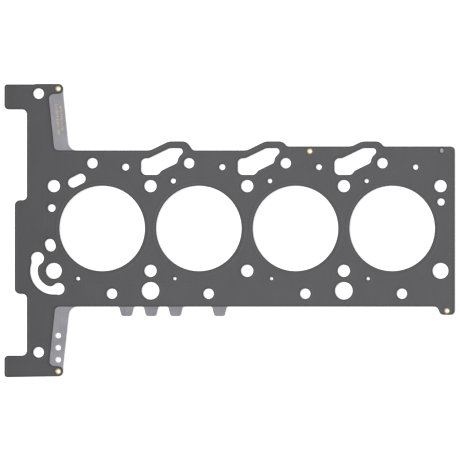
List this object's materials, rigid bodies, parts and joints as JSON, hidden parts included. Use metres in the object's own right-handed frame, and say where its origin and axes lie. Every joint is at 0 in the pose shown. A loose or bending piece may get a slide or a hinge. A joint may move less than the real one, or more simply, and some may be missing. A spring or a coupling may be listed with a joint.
{
  "type": "cylinder head gasket",
  "caption": "Flat multi-layer steel head gasket for a four-cylinder engine, with two long arms at one end, beaded bores, oil and coolant passages and riveting eyelets.",
  "frame": {"origin": "midway between bores 2 and 3, in the face that lies on the engine block", "axes": "+X along the row of bores, away from the two arms; +Y towards the edge with the slanted windows; +Z towards the cylinder head"},
  "size_m": [0.4613, 0.3003, 0.0017],
  "materials": {
    "coated_steel": "thin dark grey rubber-based coating on spring steel sheet, satin",
    "bare_steel": "rolled sheet, plain, fine lengthwise grain",
    "stopper_steel": "thin rolled stainless shim",
    "brass": "rolled brass, bright"
  },
  "bodies": {
    "root": {"bottom_layer": "coated_steel", "carrier": "bare_steel", "top_layer": "coated_steel", "stopper_ring_1": "stopper_steel", "stopper_ring_2": "stopper_steel", "stopper_ring_3": "stopper_steel", "stopper_ring_4": "stopper_steel", "eyelet_rear_arm": "brass", "eyelet_rear_edge": "brass", "eyelet_ear": "brass", "eyelet_front_arm": "brass"}
  },
  "joints": []
}
